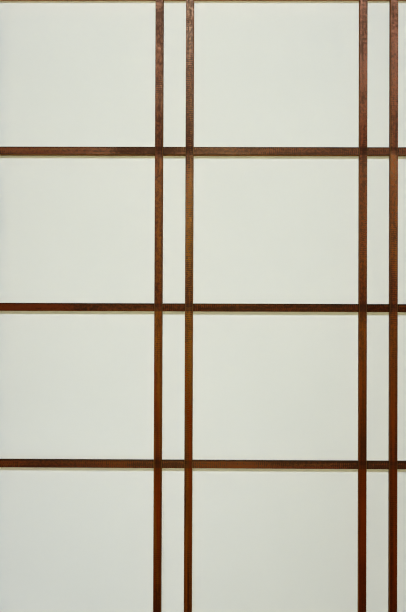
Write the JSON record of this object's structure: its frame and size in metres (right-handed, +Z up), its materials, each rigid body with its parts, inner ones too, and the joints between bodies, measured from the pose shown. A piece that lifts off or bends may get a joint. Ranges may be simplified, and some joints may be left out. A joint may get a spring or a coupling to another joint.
{
  "type": "shoji sliding screen",
  "caption": "Pair of sliding paper screens in a two-track wooden frame; each leaf is a thin lattice of paired uprights and single crossbars backed with white paper.",
  "frame": {"origin": "centre of the sill's underside, midway between the jambs and midway through the frame's depth", "axes": "+X to the right seen from the room, +Y away from the room through the screen, +Z up. The lattice side of both leaves faces the room, -Y. The front leaf runs in the track nearer the room and stands at the right at rest."},
  "size_m": [1.939, 0.105, 1.9646],
  "materials": {
    "lattice_wood": "dark reddish-brown stain, satin, straight fine grain",
    "leaf_wood": "dark reddish-brown stain, satin, straight grain",
    "frame_wood": "dark reddish-brown stain, satin, straight grain",
    "slip_wood": "unstained hard oak, burnished by the leaves",
    "paper": "matt white fibrous paper, slightly translucent",
    "pull_metal": "blackened brass, satin",
    "screw_steel": "zinc plated"
  },
  "bodies": {
    "frame": {"head_track": "frame_wood", "sill_track": "frame_wood", "jamb_left": "frame_wood", "jamb_right": "frame_wood", "slip_front": "slip_wood", "slip_rear": "slip_wood", "frame_screws": "screw_steel"},
    "leaf_right": {"right_stile_left": "leaf_wood", "right_stile_right": "leaf_wood", "right_rail_top": "leaf_wood", "right_rail_bottom": "leaf_wood", "right_bar_vertical_1": "lattice_wood", "right_bar_vertical_2": "lattice_wood", "right_bar_vertical_3": "lattice_wood", "right_bar_vertical_4": "lattice_wood", "right_bar_vertical_5": "lattice_wood", "right_bar_vertical_6": "lattice_wood", "right_bar_horizontal_1": "lattice_wood", "right_bar_horizontal_2": "lattice_wood", "right_bar_horizontal_3": "lattice_wood", "right_bar_horizontal_4": "lattice_wood", "right_bar_horizontal_5": "lattice_wood", "right_bar_horizontal_6": "lattice_wood", "right_bar_horizontal_7": "lattice_wood", "right_bar_horizontal_8": "lattice_wood", "right_bar_horizontal_9": "lattice_wood", "right_paper": "paper", "right_pull_front": "pull_metal", "right_pull_back": "pull_metal"},
    "leaf_left": {"left_stile_left": "leaf_wood", "left_stile_right": "leaf_wood", "left_rail_top": "leaf_wood", "left_rail_bottom": "leaf_wood", "left_bar_vertical_1": "lattice_wood", "left_bar_vertical_2": "lattice_wood", "left_bar_vertical_3": "lattice_wood", "left_bar_vertical_4": "lattice_wood", "left_bar_vertical_5": "lattice_wood", "left_bar_vertical_6": "lattice_wood", "left_bar_horizontal_1": "lattice_wood", "left_bar_horizontal_2": "lattice_wood", "left_bar_horizontal_3": "lattice_wood", "left_bar_horizontal_4": "lattice_wood", "left_bar_horizontal_5": "lattice_wood", "left_bar_horizontal_6": "lattice_wood", "left_bar_horizontal_7": "lattice_wood", "left_bar_horizontal_8": "lattice_wood", "left_bar_horizontal_9": "lattice_wood", "left_paper": "paper", "left_pull_front": "pull_metal", "left_pull_back": "pull_metal"}
  },
  "joints": [
    {"name": "front_leaf_slide", "type": "slide", "parent": "frame", "child": "leaf_right", "axis": [1, 0, 0], "range_m": [-0.923, 0]},
    {"name": "rear_leaf_slide", "type": "slide", "parent": "frame", "child": "leaf_left", "axis": [1, 0, 0], "range_m": [0, 0.923]}
  ]
}
